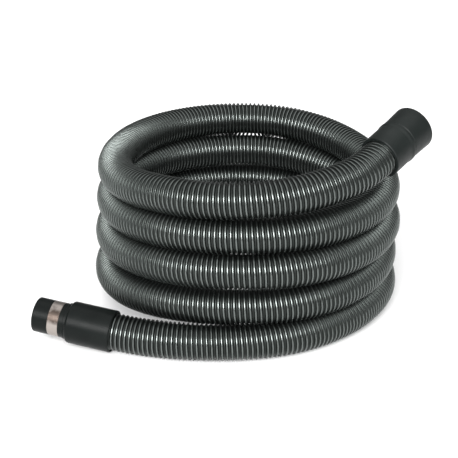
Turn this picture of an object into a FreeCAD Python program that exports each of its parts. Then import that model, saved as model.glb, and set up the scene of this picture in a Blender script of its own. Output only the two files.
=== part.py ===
import FreeCAD, Part
import os
from math import cos, pi, radians, sin, sqrt, tan

V = FreeCAD.Vector

# A corrugated vacuum hose, laid down in four loose turns. The wall-end cuff lies on the floor at the
# left, the wand-end cuff points up and away at the right. Millimetres, +Z up, and the origin is on the
# floor under the middle of the whole object's box.

# Hose
hose_diameter = 41.0
hose_radius = hose_diameter / 2
hose_bore_radius = 16.6

# Coil: stacked turns of an almost round loop. Each turn lies in the grooves of the one below, so the
# step from turn to turn is a little less than the hose's diameter.
turn_count = 4
turn_step = 39.0
coil_centre = V(19.5, 7, 0)
coil_half_width = 154.0
coil_half_depth = 159.0
rise_share = 0.75        # a turn climbs its step over this share of its circle, from the right side on
wall_end_angle = -60     # where the lowest turn starts
wand_end_angle = 240     # where the top turn stops
section_step = 10        # degrees between the coil's sections

# Wall cuff: the sleeve rests on the floor by its rim, with the nose a little higher
wall_sleeve_radius = 22.9
wall_sleeve_length = 50.5
wall_rim = V(-126.4, -146.3, 22.7)
wall_axis_angle = 164.5
wall_axis_climb = 6.0
wall_insertion = 28.0
spigot_radius = 19.05
spigot_tip = 89.5
neck_radius = 18.5       # of the spigot, inside the sleeve's nose
lip_radius = 20.0
lip_end = 54.0
shoulder_radius = 2.6
band_start = 59.0
band_width = 12.0
band_thickness = 0.5
band_split = 2.0

# Wand cuff: its axis climbs away from the coil
wand_rim = V(158.3, -79.1, 197.4)
wand_axis_angle = 49.5
wand_axis_climb = 15.5
wand_insertion = 19.0
wand_collar_radius = 24.0
wand_collar_length = 34.5
seam_lip_radius = 24.8
wand_socket_radius = 24.3
wand_mouth_radius = 25.2
wand_cuff_length = 66.0
wand_bore_radius = 19.1
wand_stop = 43.0

# Both cuffs turn freely on a nut that is screwed on the hose
nut_radius = 21.5
nut_chamfer = 0.3
running_clearance = 0.1
rim_clearance = 0.4
cuff_bore_radius = nut_radius + running_clearance
washer_gap = 0.3
ring_thickness = 2.0
ring_groove_depth = 0.4
ring_split = 6.0


def direction(azimuth, climb=0.0):
    """The unit vector at an azimuth from +X and a climb above the floor, both in degrees."""
    level = cos(radians(climb))
    return V(level * cos(radians(azimuth)), level * sin(radians(azimuth)), sin(radians(climb)))


wall_axis = direction(wall_axis_angle, wall_axis_climb)
wand_axis = direction(wand_axis_angle, wand_axis_climb)


def coil_point(angle):
    """The middle of the hose at an angle along the coil, in degrees from the right side."""
    turns = angle / 360.0
    whole = turns // 1
    height = hose_radius + turn_step * (whole + min((turns - whole) / rise_share, 1.0))
    return coil_centre + V(coil_half_width * cos(radians(angle)),
                           coil_half_depth * sin(radians(angle)), height)


def coil_tangent(angle):
    """The level direction in which the hose runs at an angle along the coil."""
    tangent = V(-coil_half_width * sin(radians(angle)), coil_half_depth * cos(radians(angle)), 0)
    return tangent.normalize()


def lowest_centre(angle):
    """The middle of the coil's lowest turn, which starts at wall_end_angle on the floor."""
    if angle < 0:
        return coil_point(angle) + V(0, 0, hose_radius - coil_point(angle).z)
    return coil_point(angle)


# The uncoiled stretches, as the corners of their routes. The first and last corners of each are on the
# axis of its cuff and on the end of a turn of the coil.
wall_route = [
    wall_rim + wall_axis * wall_insertion,
    wall_rim - wall_axis * 15,
    V(-68.5, -160, hose_radius),
    V(-25, -165, hose_radius),
    V(18, -162.8, hose_radius),
    lowest_centre(wall_end_angle) - coil_tangent(wall_end_angle) * 38,
    lowest_centre(wall_end_angle),
]
top_turn_end = wand_end_angle + 360 * (turn_count - 1)
wand_route = [
    coil_point(top_turn_end),
    coil_point(top_turn_end) + coil_tangent(wand_end_angle) * 27,
    V(-10.5, -152.2, 173.5),
    V(17.4, -154.6, 175.5),
    V(46.2, -151.6, 177.3),
    V(74.1, -143.6, 179.3),
    V(100.4, -131.3, 182),
    V(124.4, -115.1, 186),
    wand_rim - wand_axis * 20,
    wand_rim + wand_axis * wand_insertion,
]


def rounded_path(corners):
    """Straight runs joined by tangent arcs, each as large as its two runs allow."""
    edges = []
    radii = []
    start = corners[0]
    for before, corner, after in zip(corners, corners[1:], corners[2:]):
        back = before - corner
        ahead = after - corner
        setback = 0.45 * min(back.Length, ahead.Length)
        half_turn = (pi - back.getAngle(ahead)) / 2
        radii.append(setback / tan(half_turn))
        back.normalize()
        ahead.normalize()
        arc_start = corner + back * setback
        arc_end = corner + ahead * setback
        to_centre = (back + ahead).normalize()
        middle = corner + to_centre * (radii[-1] / cos(half_turn) - radii[-1])
        edges.append(Part.LineSegment(start, arc_start).toShape())
        edges.append(Part.Arc(arc_start, middle, arc_end).toShape())
        start = arc_end
    edges.append(Part.LineSegment(start, corners[-1]).toShape())
    return Part.Wire(edges), radii


def hose_tube(name, corners):
    """A plain tube of the hose's outer diameter along a route, with its radii and volume printed."""
    path, radii = rounded_path(corners)
    circle = Part.makeCircle(hose_radius, corners[0], corners[1] - corners[0])
    tube = path.makePipeShell([Part.Wire(circle)], True, False)
    expected = pi * hose_radius ** 2 * path.Length
    print(f"{name}: length {path.Length:.0f} mm, radii in diameters "
          f"{[round(radius / hose_diameter, 1) for radius in radii]}, "
          f"volume over section times length {tube.Volume / expected:.4f}")
    return tube


def coil_section(angle, turns):
    """The outline of so many stacked turns, in the plane across the hose at an angle."""
    outward = coil_tangent(angle).cross(V(0, 0, 1))
    lowest = lowest_centre(angle)
    half_step = turn_step / 2
    notch = outward * sqrt(hose_radius ** 2 - half_step ** 2)
    side = outward * hose_radius
    centres = [lowest + V(0, 0, turn_step * turn) for turn in range(turns)]
    bottom = lowest - V(0, 0, hose_radius)
    top = centres[-1] + V(0, 0, hose_radius)
    edges = []
    for sign, stack in ((1, centres), (-1, centres[::-1])):
        for centre in stack:
            start = centre - V(0, 0, half_step * sign) + notch * sign
            end = centre + V(0, 0, half_step * sign) + notch * sign
            if centre is stack[0]:
                start = bottom if sign == 1 else top
            if centre is stack[-1]:
                end = top if sign == 1 else bottom
            edges.append(Part.Arc(start, centre + side * sign, end).toShape())
    return Part.Wire(edges)


def coil_stretch(first, last, turns):
    """So many stacked turns between two angles."""
    count = round((last - first) / section_step)
    angles = [first + section_step * index for index in range(count + 1)]
    return Part.makeLoft([coil_section(angle, turns) for angle in angles], True, True)


def hose_coil():
    """The outer shape of the turns: four high, and three high where the two ends pass."""
    full = coil_stretch(wall_end_angle, wand_end_angle, turn_count)
    crossing = coil_stretch(wand_end_angle, wall_end_angle + 360, turn_count - 1)
    return full.fuse(crossing)


def turned(profile, origin, axis):
    """A solid of revolution from (distance along the axis, radius) corners or ready edges."""
    if isinstance(profile[0], tuple):
        points = [V(along, radius, 0) for along, radius in profile]
        wire = Part.makePolygon(points + points[:1])
    else:
        wire = Part.Wire(profile)
    solid = Part.Face(wire).revolve(V(0, 0, 0), V(1, 0, 0), 360)
    return placed(solid, origin, axis)


def placed(shape, origin, axis):
    """Move a shape built along +X so that it starts at origin and runs along axis."""
    shape.Placement = FreeCAD.Placement(origin, FreeCAD.Rotation(V(1, 0, 0), axis))
    return shape


def line(start, end):
    return Part.LineSegment(V(*start, 0), V(*end, 0)).toShape()


def arc(start, middle, end):
    return Part.Arc(V(*start, 0), V(*middle, 0), V(*end, 0)).toShape()


def split_ring(inner, outer, start, width, split, turn, origin, axis):
    """A flat ring with a gap cut through it at an angle round its axis."""
    ring = Part.makeCylinder(outer, width, V(start, 0, 0), V(1, 0, 0))
    ring = ring.cut(Part.makeCylinder(inner, width, V(start, 0, 0), V(1, 0, 0)))
    gap = Part.makeBox(width, split, outer, V(start, -split / 2, 0))
    gap.rotate(V(0, 0, 0), V(1, 0, 0), turn)
    return placed(ring.cut(gap), origin, axis)


def hose_nut(start, hose_end, end, origin, axis):
    """A threaded bush on the end of the hose, with a flange that the hose stops against."""
    chamfer = nut_chamfer
    profile = [(start, hose_radius), (start, nut_radius - chamfer), (start + chamfer, nut_radius),
               (end - chamfer, nut_radius), (end, nut_radius - chamfer), (end, hose_bore_radius),
               (hose_end, hose_bore_radius), (hose_end, hose_radius)]
    return turned(profile, origin, axis)


def washer(start, end, origin, axis):
    inner = hose_bore_radius + 0.4
    outer = nut_radius - 0.2
    return turned([(start, inner), (start, outer), (end, outer), (end, inner)], origin, axis)


# Wall cuff, measured along its axis from the sleeve's hose-side rim towards the spigot's tip
ring_start = 2.5
wall_nut_start = ring_start + ring_thickness + 0.4
wall_nut_end = 33.0
flange_start = 37.0
neck_start = 40.0
groove_radius = cuff_bore_radius + ring_groove_depth


def wall_sleeve():
    shoulder_start = wall_sleeve_length - shoulder_radius
    shoulder_centre = wall_sleeve_radius - shoulder_radius
    slope = radians(45)
    low = radians(18)

    def shoulder(angle):
        return (shoulder_start + shoulder_radius * cos(angle),
                shoulder_centre + shoulder_radius * sin(angle))

    foot = shoulder(low)
    corners = [foot, (foot[0], lip_radius), (lip_end - 0.4, lip_radius), (lip_end, lip_radius - 0.4),
               (lip_end, neck_radius), (neck_start, neck_radius), (neck_start, cuff_bore_radius),
               (ring_start + ring_thickness + 0.1, cuff_bore_radius),
               (ring_start + ring_thickness + 0.1, groove_radius), (ring_start - 0.1, groove_radius),
               (ring_start - 0.1, cuff_bore_radius), (0, cuff_bore_radius), (0, wall_sleeve_radius - 1.0),
               (1.0, wall_sleeve_radius), (shoulder_start, wall_sleeve_radius)]
    edges = [line(start, end) for start, end in zip(corners, corners[1:])]
    edges.append(arc(corners[-1], shoulder(slope), foot))
    return turned(edges, wall_rim, wall_axis)


def wall_spigot():
    bore = hose_bore_radius
    tip_round = 1.6
    middle = tip_round * (1 - cos(radians(45)))
    groove = spigot_radius - band_thickness
    band_end = band_start + band_width
    corners = [(spigot_tip, spigot_radius - tip_round), (spigot_tip, bore + 0.8), (spigot_tip - 0.8, bore),
               (flange_start, bore), (flange_start, nut_radius), (neck_start, nut_radius),
               (neck_start, neck_radius), (lip_end, neck_radius), (lip_end, spigot_radius),
               (band_start - 0.1, spigot_radius), (band_start - 0.1, groove),
               (band_end + 0.1, groove), (band_end + 0.1, spigot_radius),
               (spigot_tip - tip_round, spigot_radius)]
    edges = [line(start, end) for start, end in zip(corners, corners[1:])]
    edges.append(arc(corners[-1], (spigot_tip - middle, spigot_radius - middle), corners[0]))
    return turned(edges, wall_rim, wall_axis)


def contact_band():
    """The stainless band in the spigot's groove, flush with the spigot."""
    return split_ring(spigot_radius - band_thickness, spigot_radius, band_start, band_width, band_split,
                      150, wall_rim, wall_axis)


def wall_retaining_ring():
    return split_ring(hose_radius + 0.3, groove_radius - 0.05, ring_start, ring_thickness, ring_split, 0,
                      wall_rim, wall_axis)


def wall_hose_nut():
    return hose_nut(wall_nut_start, wall_insertion, wall_nut_end, wall_rim, wall_axis)


def wall_seal():
    return washer(wall_nut_end + washer_gap, flange_start, wall_rim, wall_axis)


# Wand cuff, measured along its axis from the collar's rim towards the open end
snap_lip = 2.8
wand_nut_start = snap_lip + 0.2
wand_nut_end = 22.0
wand_web = 25.0
skirt_end = 41.0
skirt_radius = 21.4
skirt_bore = 19.6
seam_lip_start = 27.5
flare_start = 8.0          # after the seam


def wand_collar():
    """The collar next to the hose: a lip holds the nut and a skirt plugs into the socket."""
    radius = wand_collar_radius
    end = wand_collar_length
    lip_bore = hose_radius + rim_clearance
    return turned([(0, lip_bore), (0, radius - 0.6), (0.6, radius), (seam_lip_start, radius),
                   (seam_lip_start + 3, seam_lip_radius), (end - 0.8, seam_lip_radius),
                   (end, seam_lip_radius - 0.8), (end, skirt_radius), (skirt_end, skirt_radius),
                   (skirt_end, skirt_bore), (wand_web, skirt_bore), (wand_web, cuff_bore_radius),
                   (snap_lip, cuff_bore_radius), (snap_lip, lip_bore)], wand_rim, wand_axis)


def wand_socket():
    """The open end, flared slightly, which a wand's tube slides into as far as the step inside."""
    start = wand_collar_length
    end = wand_cuff_length
    rim_round = 1.4
    middle = rim_round * (1 - cos(radians(45)))
    mouth = wand_mouth_radius
    corners = [(end, mouth - rim_round), (end, wand_bore_radius + 0.8), (end - 0.8, wand_bore_radius),
               (wand_stop, wand_bore_radius), (wand_stop, hose_bore_radius), (skirt_end, hose_bore_radius),
               (skirt_end, skirt_radius), (start, skirt_radius), (start, wand_socket_radius - 0.5),
               (start + 0.6, wand_socket_radius), (start + flare_start, wand_socket_radius),
               (end - rim_round, mouth)]
    edges = [line(first, last) for first, last in zip(corners, corners[1:])]
    edges.append(arc(corners[-1], (end - middle, mouth - middle), corners[0]))
    return turned(edges, wand_rim, wand_axis)


def wand_hose_nut():
    return hose_nut(wand_nut_start, wand_insertion, wand_nut_end, wand_rim, wand_axis)


def wand_seal():
    return washer(wand_nut_end + washer_gap, wand_web, wand_rim, wand_axis)


os.makedirs("parts", exist_ok=True)
nodes = {
    "hose_coil": hose_coil(),
    "wall_tail": hose_tube("wall_tail", wall_route),
    "wand_tail": hose_tube("wand_tail", wand_route),
    "wall_hose_nut": wall_hose_nut(),
    "wall_sleeve": wall_sleeve(),
    "wall_spigot": wall_spigot(),
    "contact_band": contact_band(),
    "wall_retaining_ring": wall_retaining_ring(),
    "wall_seal": wall_seal(),
    "wand_hose_nut": wand_hose_nut(),
    "wand_collar": wand_collar(),
    "wand_socket": wand_socket(),
    "wand_seal": wand_seal(),
}
for name, shape in nodes.items():
    print(f"{name}: {len(shape.Solids)} solid, valid {shape.isValid()}, {shape.Volume / 1000:.2f} cm3")
    shape.exportStep(f"parts/{name}.step")
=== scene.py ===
import bmesh
import bpy
import numpy as np
from math import cos, pi, radians, sin, tau
from mathutils import Euler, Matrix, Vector


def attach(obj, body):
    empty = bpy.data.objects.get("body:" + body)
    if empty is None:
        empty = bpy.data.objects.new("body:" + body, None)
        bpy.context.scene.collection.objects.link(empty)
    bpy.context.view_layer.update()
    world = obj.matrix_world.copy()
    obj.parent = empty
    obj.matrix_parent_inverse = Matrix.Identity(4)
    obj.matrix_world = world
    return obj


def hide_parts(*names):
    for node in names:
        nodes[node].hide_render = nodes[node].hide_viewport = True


# A corrugated vacuum hose laid down in loose turns. Metres, +Z up, in the CAD model's frame.

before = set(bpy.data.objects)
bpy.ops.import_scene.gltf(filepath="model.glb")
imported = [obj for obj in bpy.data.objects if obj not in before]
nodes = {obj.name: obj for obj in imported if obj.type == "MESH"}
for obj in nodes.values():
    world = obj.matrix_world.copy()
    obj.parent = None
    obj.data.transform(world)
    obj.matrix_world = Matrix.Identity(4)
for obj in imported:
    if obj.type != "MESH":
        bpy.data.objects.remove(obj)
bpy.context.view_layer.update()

# Hose
hose_diameter = 0.041
hose_radius = hose_diameter / 2
bore_radius = 0.0166
rib_pitch = 0.0050
rib_depth = 0.0028
# One rib along its pitch: how far along each row lies, and its height from valley to crest
rib_profile = ((0.0, 1.0), (0.14, 0.87), (0.24, 0.3), (0.5, 0.0), (0.76, 0.3), (0.86, 0.87))
rib_around = 19                                 # vertices round the outer wall
bore_around = 10                                # vertices round the bore
bore_step = 0.040                               # between the bore's rings
end_reach = 0.1                                 # a rim nearer than this to the hose's start is the first one
line_resolution = 24                            # points per span of the hose's line
same_place = 1e-7
same_height = 0.001

# Coil, as in the CAD model. A step is 2 mm less than the hose's diameter, and the climbs and reaches below
# bring some turns nearer still, so the ribs of neighbouring turns cut into each other.
turn_step = 0.039
coil_centre = Vector((0.0195, 0.007, 0))
wall_end_angle = -60                            # where the spline's points on the turns start
wand_end_angle = 1320
point_step = 20                                 # degrees between the points of a turn
round_out = 1 / (0.75 + 0.25 * cos(radians(point_step)))    # the spline cuts inside its points by this

# How far each turn reaches from the coil's centre to the right, back, left and front, lowest first
turn_reach = (
    (0.1535, 0.164, 0.159, 0.1615),
    (0.1517, 0.161, 0.1565, 0.166),
    (0.1545, 0.151, 0.154, 0.157),
    (0.1525, 0.1665, 0.1515, 0.154),
)
# The share of its step that each turn has climbed at the right, back, left and front
turn_climb = (
    (0.0, 0.25, 0.39, 0.96),
    (0.0, 0.48, 0.60, 1.07),
    (0.0, 0.56, 0.64, 0.985),
    (0.0, 0.46, 0.57, 1.0),
)

# Wall cuff, as in the CAD model
wall_axis_angle = 164.5                         # degrees round from +X
wall_axis_climb = 6.0                           # degrees above level

# A painted dark reflection on the contact band, a level dark brown band that dims the lamp's highlight: its
# height above the floor, its width, and how far noise moves its edges
painted_reflection_height = 0.040
painted_reflection_width = 0.020
painted_reflection_waver = 0.008

# Patterns of the plastics, in cycles per metre, and the height of a bump
cloud_scale = 35
smear_scale = 90
grain_scale = 2600
bump_height = 0.0001

# Studio
floor_half = 6.0
floor_grey = 0.90
world_strength = 0.25
camera_place = (-0.003, -1.3539, 0.6759)
camera_down = 23.78                             # degrees below level
camera_lens = 99.8
camera_sensor = 36

# The uncoiled stretches' route, from inside the wall cuff to the coil, and from the coil into the wand cuff
wall_route = [
    (-0.1532, -0.1389, 0.0256),
    (-0.112, -0.1503, 0.0211),
    (-0.0865, -0.157, 0.0205),
    (-0.0575, -0.163, 0.0205),
    (-0.0265, -0.1656, 0.0205),
    (0.0055, -0.1648, 0.0205),
    (0.0355, -0.1602, 0.0205),
    (0.0645, -0.151, 0.0205),
    (0.091, -0.1365, 0.0205),
    (0.1145, -0.118, 0.0205),
]
wand_route = [
    (-0.0305, -0.1405, 0.1735),
    (-0.0005, -0.1475, 0.1753),
    (0.0295, -0.1488, 0.1768),
    (0.0585, -0.1435, 0.1785),
    (0.0855, -0.1335, 0.1808),
    (0.1095, -0.1205, 0.184),
    (0.1285, -0.1085, 0.187),
    (0.1458, -0.0938, 0.1921),
    (0.1702, -0.0652, 0.2025),
]


def between(values, quarter):
    """Ease from one of a turn's quarter values to the next."""
    start = int(quarter)
    share = (1 - cos(pi * (quarter - start))) / 2
    return values[start] * (1 - share) + values[start + 1] * share


def coil_point(angle):
    """A point of the hose's route at an angle along the coil, in degrees from the right side.

    Before the first turn starts, at negative angles, the hose lies on the floor.
    """
    turn = max(int(angle // 360), 0)
    quarter = (angle - 360 * turn) / 90
    following = turn_reach[min(turn + 1, len(turn_reach) - 1)][0]
    reach = turn_reach[0][0]
    climb = 0.0
    if quarter >= 0:
        reach = between((*turn_reach[turn], following), quarter)
        climb = between((*turn_climb[turn], 1.0), quarter)
    height = hose_radius + turn_step * (turn + climb)
    reach *= round_out
    return coil_centre + Vector((reach * cos(radians(angle)), reach * sin(radians(angle)), height))


def hose_route():
    """Every point of the route: the wall end, the turns, and the wand end."""
    angles = range(wall_end_angle + point_step, wand_end_angle + 1, point_step)
    turns = [coil_point(angle) for angle in angles]
    return [Vector(point) for point in wall_route] + turns + [Vector(point) for point in wand_route]


def smooth_line(route):
    """The points of one NURBS spline whose control points are the route's."""
    curve = bpy.data.curves.new("hose_line", "CURVE")
    curve.dimensions = "3D"
    curve.resolution_u = line_resolution
    spline = curve.splines.new("NURBS")
    spline.points.add(len(route) - 1)
    for point, place in zip(spline.points, route):
        point.co = (*place, 1)
    spline.order_u = 3
    spline.use_endpoint_u = True
    line = bpy.data.objects.new("hose_line", curve)
    mesh = bpy.data.meshes.new_from_object(line)
    points = np.array([vertex.co[:] for vertex in mesh.vertices])
    bpy.data.objects.remove(line)
    bpy.data.meshes.remove(mesh)
    return points


class Sweep:
    """A line with an untwisted pair of directions across it at every point."""

    def __init__(self, points):
        steps = np.diff(points, axis=0)
        lengths = np.linalg.norm(steps, axis=1)
        keep = np.append(True, lengths > same_place)
        self.points = points[keep]
        self.places = np.append(0, np.cumsum(lengths[keep[1:]]))
        self.length = self.places[-1]
        tangents = np.gradient(self.points, self.places, axis=0)
        tangents /= np.linalg.norm(tangents, axis=1)[:, None]
        across = [np.cross(tangents[0], (0, 0, 1))]
        for tangent in tangents[1:]:
            carried = across[-1] - tangent * np.dot(across[-1], tangent)
            across.append(carried / np.linalg.norm(carried))
        self.across = np.array(across)
        self.other = np.cross(tangents, self.across)

    def surface(self, place, turn, radius):
        """The points at these distances along the line, angles round it and distances out from it."""
        def at(values):
            return np.stack([np.interp(place, self.places, values[:, k]) for k in range(3)], axis=-1)

        out = at(self.across) * np.cos(turn)[..., None] + at(self.other) * np.sin(turn)[..., None]
        out /= np.linalg.norm(out, axis=-1)[..., None]
        return at(self.points) + out * radius[..., None]


def ribbed_wall(sweep):
    """Vertices, faces and groove depths of the outer wall: one rib winds round the hose like a thread.

    Along a rib's pitch there is one row of vertices per entry of the profile. After the last column the
    surface goes on in the first column of the next rib.
    """
    rows_per_rib = len(rib_profile)
    ribs = int(sweep.length / rib_pitch - 1)
    rows = ribs * rows_per_rib
    row, column = np.meshgrid(np.arange(rows + 1), np.arange(rib_around), indexing="ij")
    along, height = np.array(rib_profile)[row % rows_per_rib].transpose(2, 0, 1)
    slack = sweep.length - (ribs + 1) * rib_pitch
    place = slack / 2 + (row // rows_per_rib + along + column / rib_around) * rib_pitch
    radius = hose_radius - rib_depth * (1 - height)
    vertices = sweep.surface(place, column / rib_around * tau, radius).reshape(-1, 3)
    groove = (1 - height).reshape(-1)
    faces = []
    for i in range(rows):
        for j in range(rib_around):
            if j + 1 < rib_around:
                right = i * rib_around + j + 1
            elif i + rows_per_rib < rows:
                right = (i + rows_per_rib) * rib_around
            else:
                continue
            left = i * rib_around + j
            faces.append((left, right, right + rib_around, left + rib_around))
    return vertices, faces, groove


def bore_wall(sweep):
    """Vertices and faces of the smooth inner wall, facing inwards."""
    count = int(sweep.length / bore_step)
    places = np.linspace(rib_pitch, sweep.length - rib_pitch, count)
    place, column = np.meshgrid(places, np.arange(bore_around), indexing="ij")
    radius = np.full(place.shape, bore_radius)
    vertices = sweep.surface(place, column / bore_around * tau, radius).reshape(-1, 3)
    faces = []
    for i in range(count - 1):
        for j in range(bore_around):
            left = i * bore_around + j
            right = i * bore_around + (j + 1) % bore_around
            faces.append((left, left + bore_around, right + bore_around, right))
    return vertices, faces


def close_ends(work, start):
    """Join the outer wall to the inner one by a ring across each end of the hose."""
    rim = [edge for edge in work.edges if edge.is_boundary]
    for at_start in (True, False):
        end = [edge for edge in rim if ((edge.verts[0].co - start).length < end_reach) == at_start]
        bmesh.ops.bridge_loops(work, edges=end)
    bmesh.ops.recalc_face_normals(work, faces=work.faces)


def shade_ribs(work):
    """Smooth faces, with sharp edges along the two shoulders of each rib."""
    groove_of = work.verts.layers.float["groove"]
    shoulder = 1 - rib_profile[1][1]
    for face in work.faces:
        face.smooth = True
    for edge in work.edges:
        edge.smooth = any(abs(vertex[groove_of] - shoulder) > same_height for vertex in edge.verts)


def hose_mesh(sweep):
    """The hose as one closed mesh: outer wall, inner wall, and a ring across each end."""
    outer, outer_faces, groove = ribbed_wall(sweep)
    inner, inner_faces = bore_wall(sweep)
    shifted = [tuple(v + len(outer) for v in face) for face in inner_faces]
    mesh = bpy.data.meshes.new("hose")
    mesh.from_pydata(np.concatenate([outer, inner]).tolist(), [], outer_faces + shifted)
    depth = mesh.attributes.new("groove", "FLOAT", "POINT")
    depth.data.foreach_set("value", np.append(groove, np.zeros(len(inner))))
    work = bmesh.new()
    work.from_mesh(mesh)
    close_ends(work, Vector(sweep.points[0]))
    shade_ribs(work)
    work.to_mesh(mesh)
    work.free()
    return mesh


# Materials ---------------------------------------------------------------------------------------------


def blank_material(name):
    material = bpy.data.materials.new(name)
    material.use_nodes = True
    return material, material.node_tree, material.node_tree.nodes["Principled BSDF"]


def grey(level):
    return (level, level, level)


def add_noise(tree, scale, detail, stretch=(1, 1, 1), turn=(0, 0, 0)):
    """A noise pattern fixed to the object, stretched along its own axes after a turn."""
    place = tree.nodes.new("ShaderNodeTexCoord")
    mapping = tree.nodes.new("ShaderNodeMapping")
    mapping.vector_type = "TEXTURE"
    mapping.inputs["Rotation"].default_value = turn
    mapping.inputs["Scale"].default_value = stretch
    noise = tree.nodes.new("ShaderNodeTexNoise")
    noise.inputs["Scale"].default_value = scale
    noise.inputs["Detail"].default_value = detail
    tree.links.new(place.outputs["Object"], mapping.inputs["Vector"])
    tree.links.new(mapping.outputs["Vector"], noise.inputs["Vector"])
    return noise.outputs["Fac"]


def add_math(tree, operation, first, second=None):
    """One step of arithmetic on a pattern, with a number or with another pattern."""
    math = tree.nodes.new("ShaderNodeMath")
    math.operation = operation
    tree.links.new(first, math.inputs[0])
    if isinstance(second, (int, float)):
        math.inputs[1].default_value = second
    elif second is not None:
        tree.links.new(second, math.inputs[1])
    return math.outputs["Value"]


def add_ramp(tree, source, *stops):
    """Colours, or greys for a roughness, spread over a pattern between two stops."""
    ramp = tree.nodes.new("ShaderNodeValToRGB")
    for element, (position, colour) in zip(ramp.color_ramp.elements, stops):
        element.position = position
        element.color = (*colour, 1)
    tree.links.new(source, ramp.inputs["Fac"])
    return ramp.outputs["Color"]


def add_bump(tree, source, strength):
    bump = tree.nodes.new("ShaderNodeBump")
    bump.inputs["Distance"].default_value = bump_height
    bump.inputs["Strength"].default_value = strength
    tree.links.new(source, bump.inputs["Height"])
    return bump.outputs["Normal"]


def moulded_plastic(name, dark, light, smooth, rough, grain, specular=0.5):
    """Plastic with cloudy colour, smeared gloss from smooth to rough, and a fine moulded grain."""
    material, tree, shader = blank_material(name)
    shader.inputs["Specular IOR Level"].default_value = specular
    clouds = add_noise(tree, cloud_scale, detail=4)
    colour = add_ramp(tree, clouds, (0.35, dark), (0.7, light))
    tree.links.new(colour, shader.inputs["Base Color"])
    smears = add_noise(tree, smear_scale, detail=6)
    roughness = add_ramp(tree, smears, (0.3, grey(smooth)), (0.75, grey(rough)))
    tree.links.new(roughness, shader.inputs["Roughness"])
    fine = add_noise(tree, grain_scale, detail=3)
    tree.links.new(add_bump(tree, fine, grain), shader.inputs["Normal"])
    return material


def hose_plastic():
    """Gunmetal-coloured plastic with a metallic sheen; the grooves get painted shade, a darker base colour,
    and a rougher finish.
    """
    material = moulded_plastic("hose_plastic", dark=(0.116, 0.128, 0.123), light=(0.142, 0.156, 0.150),
                               smooth=0.24, rough=0.34, grain=0.12)
    tree = material.node_tree
    shader = tree.nodes["Principled BSDF"]
    shader.inputs["Metallic"].default_value = 0.95
    groove = tree.nodes.new("ShaderNodeAttribute")
    groove.attribute_name = "groove"
    # Painted shade: the base colour darkens towards the groove bottoms, where the ribs shade each other;
    # roughness rises there too.
    share = add_ramp(tree, groove.outputs["Fac"], (0.14, grey(0)), (0.38, grey(1)))
    for name, deep in (("Base Color", (0.028, 0.032, 0.030)), ("Roughness", grey(0.42))):
        mix = tree.nodes.new("ShaderNodeMix")
        mix.data_type = "RGBA"
        mix.inputs["B"].default_value = (*deep, 1)
        tree.links.new(share, mix.inputs["Factor"])
        tree.links.new(shader.inputs[name].links[0].from_socket, mix.inputs["A"])
        tree.links.new(mix.outputs["Result"], shader.inputs[name])
    return material


def brushed_band(name):
    """Stainless strip: lines run round the band, and a level dark brown band of painted reflection lies
    across its upper part, dimming the lamp's highlight there.
    """
    material, tree, shader = blank_material(name)
    shader.inputs["Metallic"].default_value = 1.0
    place = tree.nodes.new("ShaderNodeTexCoord")
    split = tree.nodes.new("ShaderNodeSeparateXYZ")
    tree.links.new(place.outputs["Object"], split.inputs["Vector"])
    # Painted reflection: the base colour turns dark brown near one height, where the lamp's highlight would
    # fall.
    away = add_math(tree, "ABSOLUTE", add_math(tree, "SUBTRACT", split.outputs["Z"], painted_reflection_height))
    waver = add_math(tree, "MULTIPLY", add_noise(tree, scale=160, detail=4), painted_reflection_waver)
    painted_reflection = add_math(tree, "MULTIPLY", add_math(tree, "ADD", away, waver), 1 / painted_reflection_width)
    colour = add_ramp(tree, painted_reflection, (0.4, (0.075, 0.059, 0.050)), (0.62, (0.36, 0.325, 0.30)))
    tree.links.new(colour, shader.inputs["Base Color"])
    turn = (0, -radians(wall_axis_climb), radians(wall_axis_angle))
    lines = add_noise(tree, scale=60, detail=4, stretch=(0.02, 1, 1), turn=turn)
    roughness = add_ramp(tree, lines, (0.3, grey(0.32)), (0.7, grey(0.48)))
    tree.links.new(roughness, shader.inputs["Roughness"])
    tree.links.new(add_bump(tree, lines, strength=0.25), shader.inputs["Normal"])
    return material


def paint(material, *names):
    """Give CAD nodes a material in place of the plain packed one."""
    for name in names:
        mesh = nodes[name].data
        mesh.materials.clear()
        mesh.materials.append(material)


# Pieces ------------------------------------------------------------------------------------------------


def build_hose():
    sweep = Sweep(smooth_line(hose_route()))
    hose = bpy.data.objects.new("hose", hose_mesh(sweep))
    bpy.context.scene.collection.objects.link(hose)
    hose.data.materials.append(hose_plastic())
    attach(hose, "hose")
    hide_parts("hose_coil", "wall_tail", "wand_tail")


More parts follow.
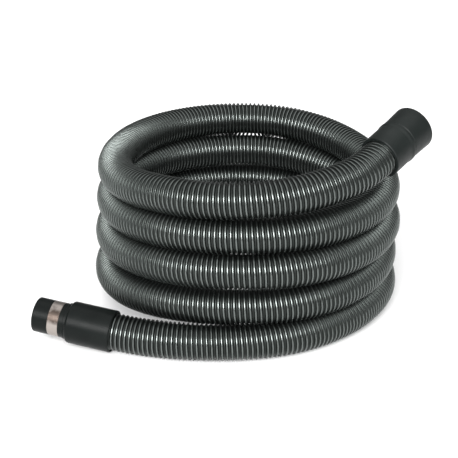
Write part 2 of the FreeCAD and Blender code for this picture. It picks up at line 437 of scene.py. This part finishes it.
def paint_cuffs():
    # The wall cuff's base colour is about half the wand cuff's. Part of that is its own darker black, and
    # part is painted shade against the key lamp, which faces it more squarely.
    satin = moulded_plastic("wall_cuff_plastic", dark=(0.003, 0.004, 0.0038), light=(0.006, 0.0075, 0.007),
                            smooth=0.30, rough=0.42, grain=0.3, specular=0.10)
    paint(satin, "wall_sleeve", "wall_spigot")
    matt = moulded_plastic("wand_cuff_plastic", dark=(0.006, 0.008, 0.0075), light=(0.009, 0.0115, 0.0108),
                           smooth=0.40, rough=0.55, grain=0.3, specular=0.18)
    paint(matt, "wand_collar", "wand_socket")
    paint(brushed_band("band_steel"), "contact_band")
    bush = moulded_plastic("bush_plastic", dark=grey(0.03), light=grey(0.05), smooth=0.45, rough=0.6,
                           grain=0.3)
    paint(bush, "wall_hose_nut", "wand_hose_nut", "wall_retaining_ring")
    rubber = moulded_plastic("seal_rubber", dark=grey(0.02), light=grey(0.03), smooth=0.7, rough=0.85,
                             grain=0.6)
    paint(rubber, "wall_seal", "wand_seal")


# Studio ------------------------------------------------------------------------------------------------


def add_floor():
    mesh = bpy.data.meshes.new("floor")
    corners = ((-1, -1), (1, -1), (1, 1), (-1, 1))
    mesh.from_pydata([(x * floor_half, y * floor_half, 0) for x, y in corners], [], [(0, 1, 2, 3)])
    floor = bpy.data.objects.new("floor", mesh)
    bpy.context.scene.collection.objects.link(floor)
    material, _, shader = blank_material("pale_floor")
    shader.inputs["Base Color"].default_value = (*grey(floor_grey), 1)
    shader.inputs["Roughness"].default_value = 0.8
    shader.inputs["Specular IOR Level"].default_value = 0.1
    mesh.materials.append(material)


def add_softbox(name, azimuth, height, distance, width, tall, power):
    """A soft rectangular lamp that faces the coil, placed by azimuth from +X and height in degrees."""
    data = bpy.data.lights.new(name, "AREA")
    data.shape = "RECTANGLE"
    data.size = width
    data.size_y = tall
    data.energy = power
    lamp = bpy.data.objects.new(name, data)
    lamp.rotation_euler = Euler((radians(90 - height), 0, radians(azimuth + 90)))
    lamp.location = coil_centre + lamp.rotation_euler.to_matrix() @ Vector((0, 0, distance))
    bpy.context.scene.collection.objects.link(lamp)


def add_lights():
    add_softbox("key", azimuth=-99, height=31, distance=10, width=8.0, tall=4.6, power=2150)
    add_softbox("ceiling", azimuth=-90, height=90, distance=6, width=10.0, tall=10.0, power=350)
    world = bpy.data.worlds.new("studio")
    bpy.context.scene.world = world
    world.use_nodes = True
    background = world.node_tree.nodes["Background"]
    background.inputs["Color"].default_value = (1, 1, 1, 1)
    background.inputs["Strength"].default_value = world_strength
    bpy.context.scene.view_settings.view_transform = "Standard"


def add_camera():
    data = bpy.data.cameras.new("camera")
    data.lens = camera_lens
    data.sensor_width = camera_sensor
    camera = bpy.data.objects.new("camera", data)
    camera.location = camera_place
    camera.rotation_euler = Euler((radians(90 - camera_down), 0, 0))
    bpy.context.scene.collection.objects.link(camera)
    bpy.context.scene.camera = camera


build_hose()
paint_cuffs()
add_floor()
add_lights()
add_camera()
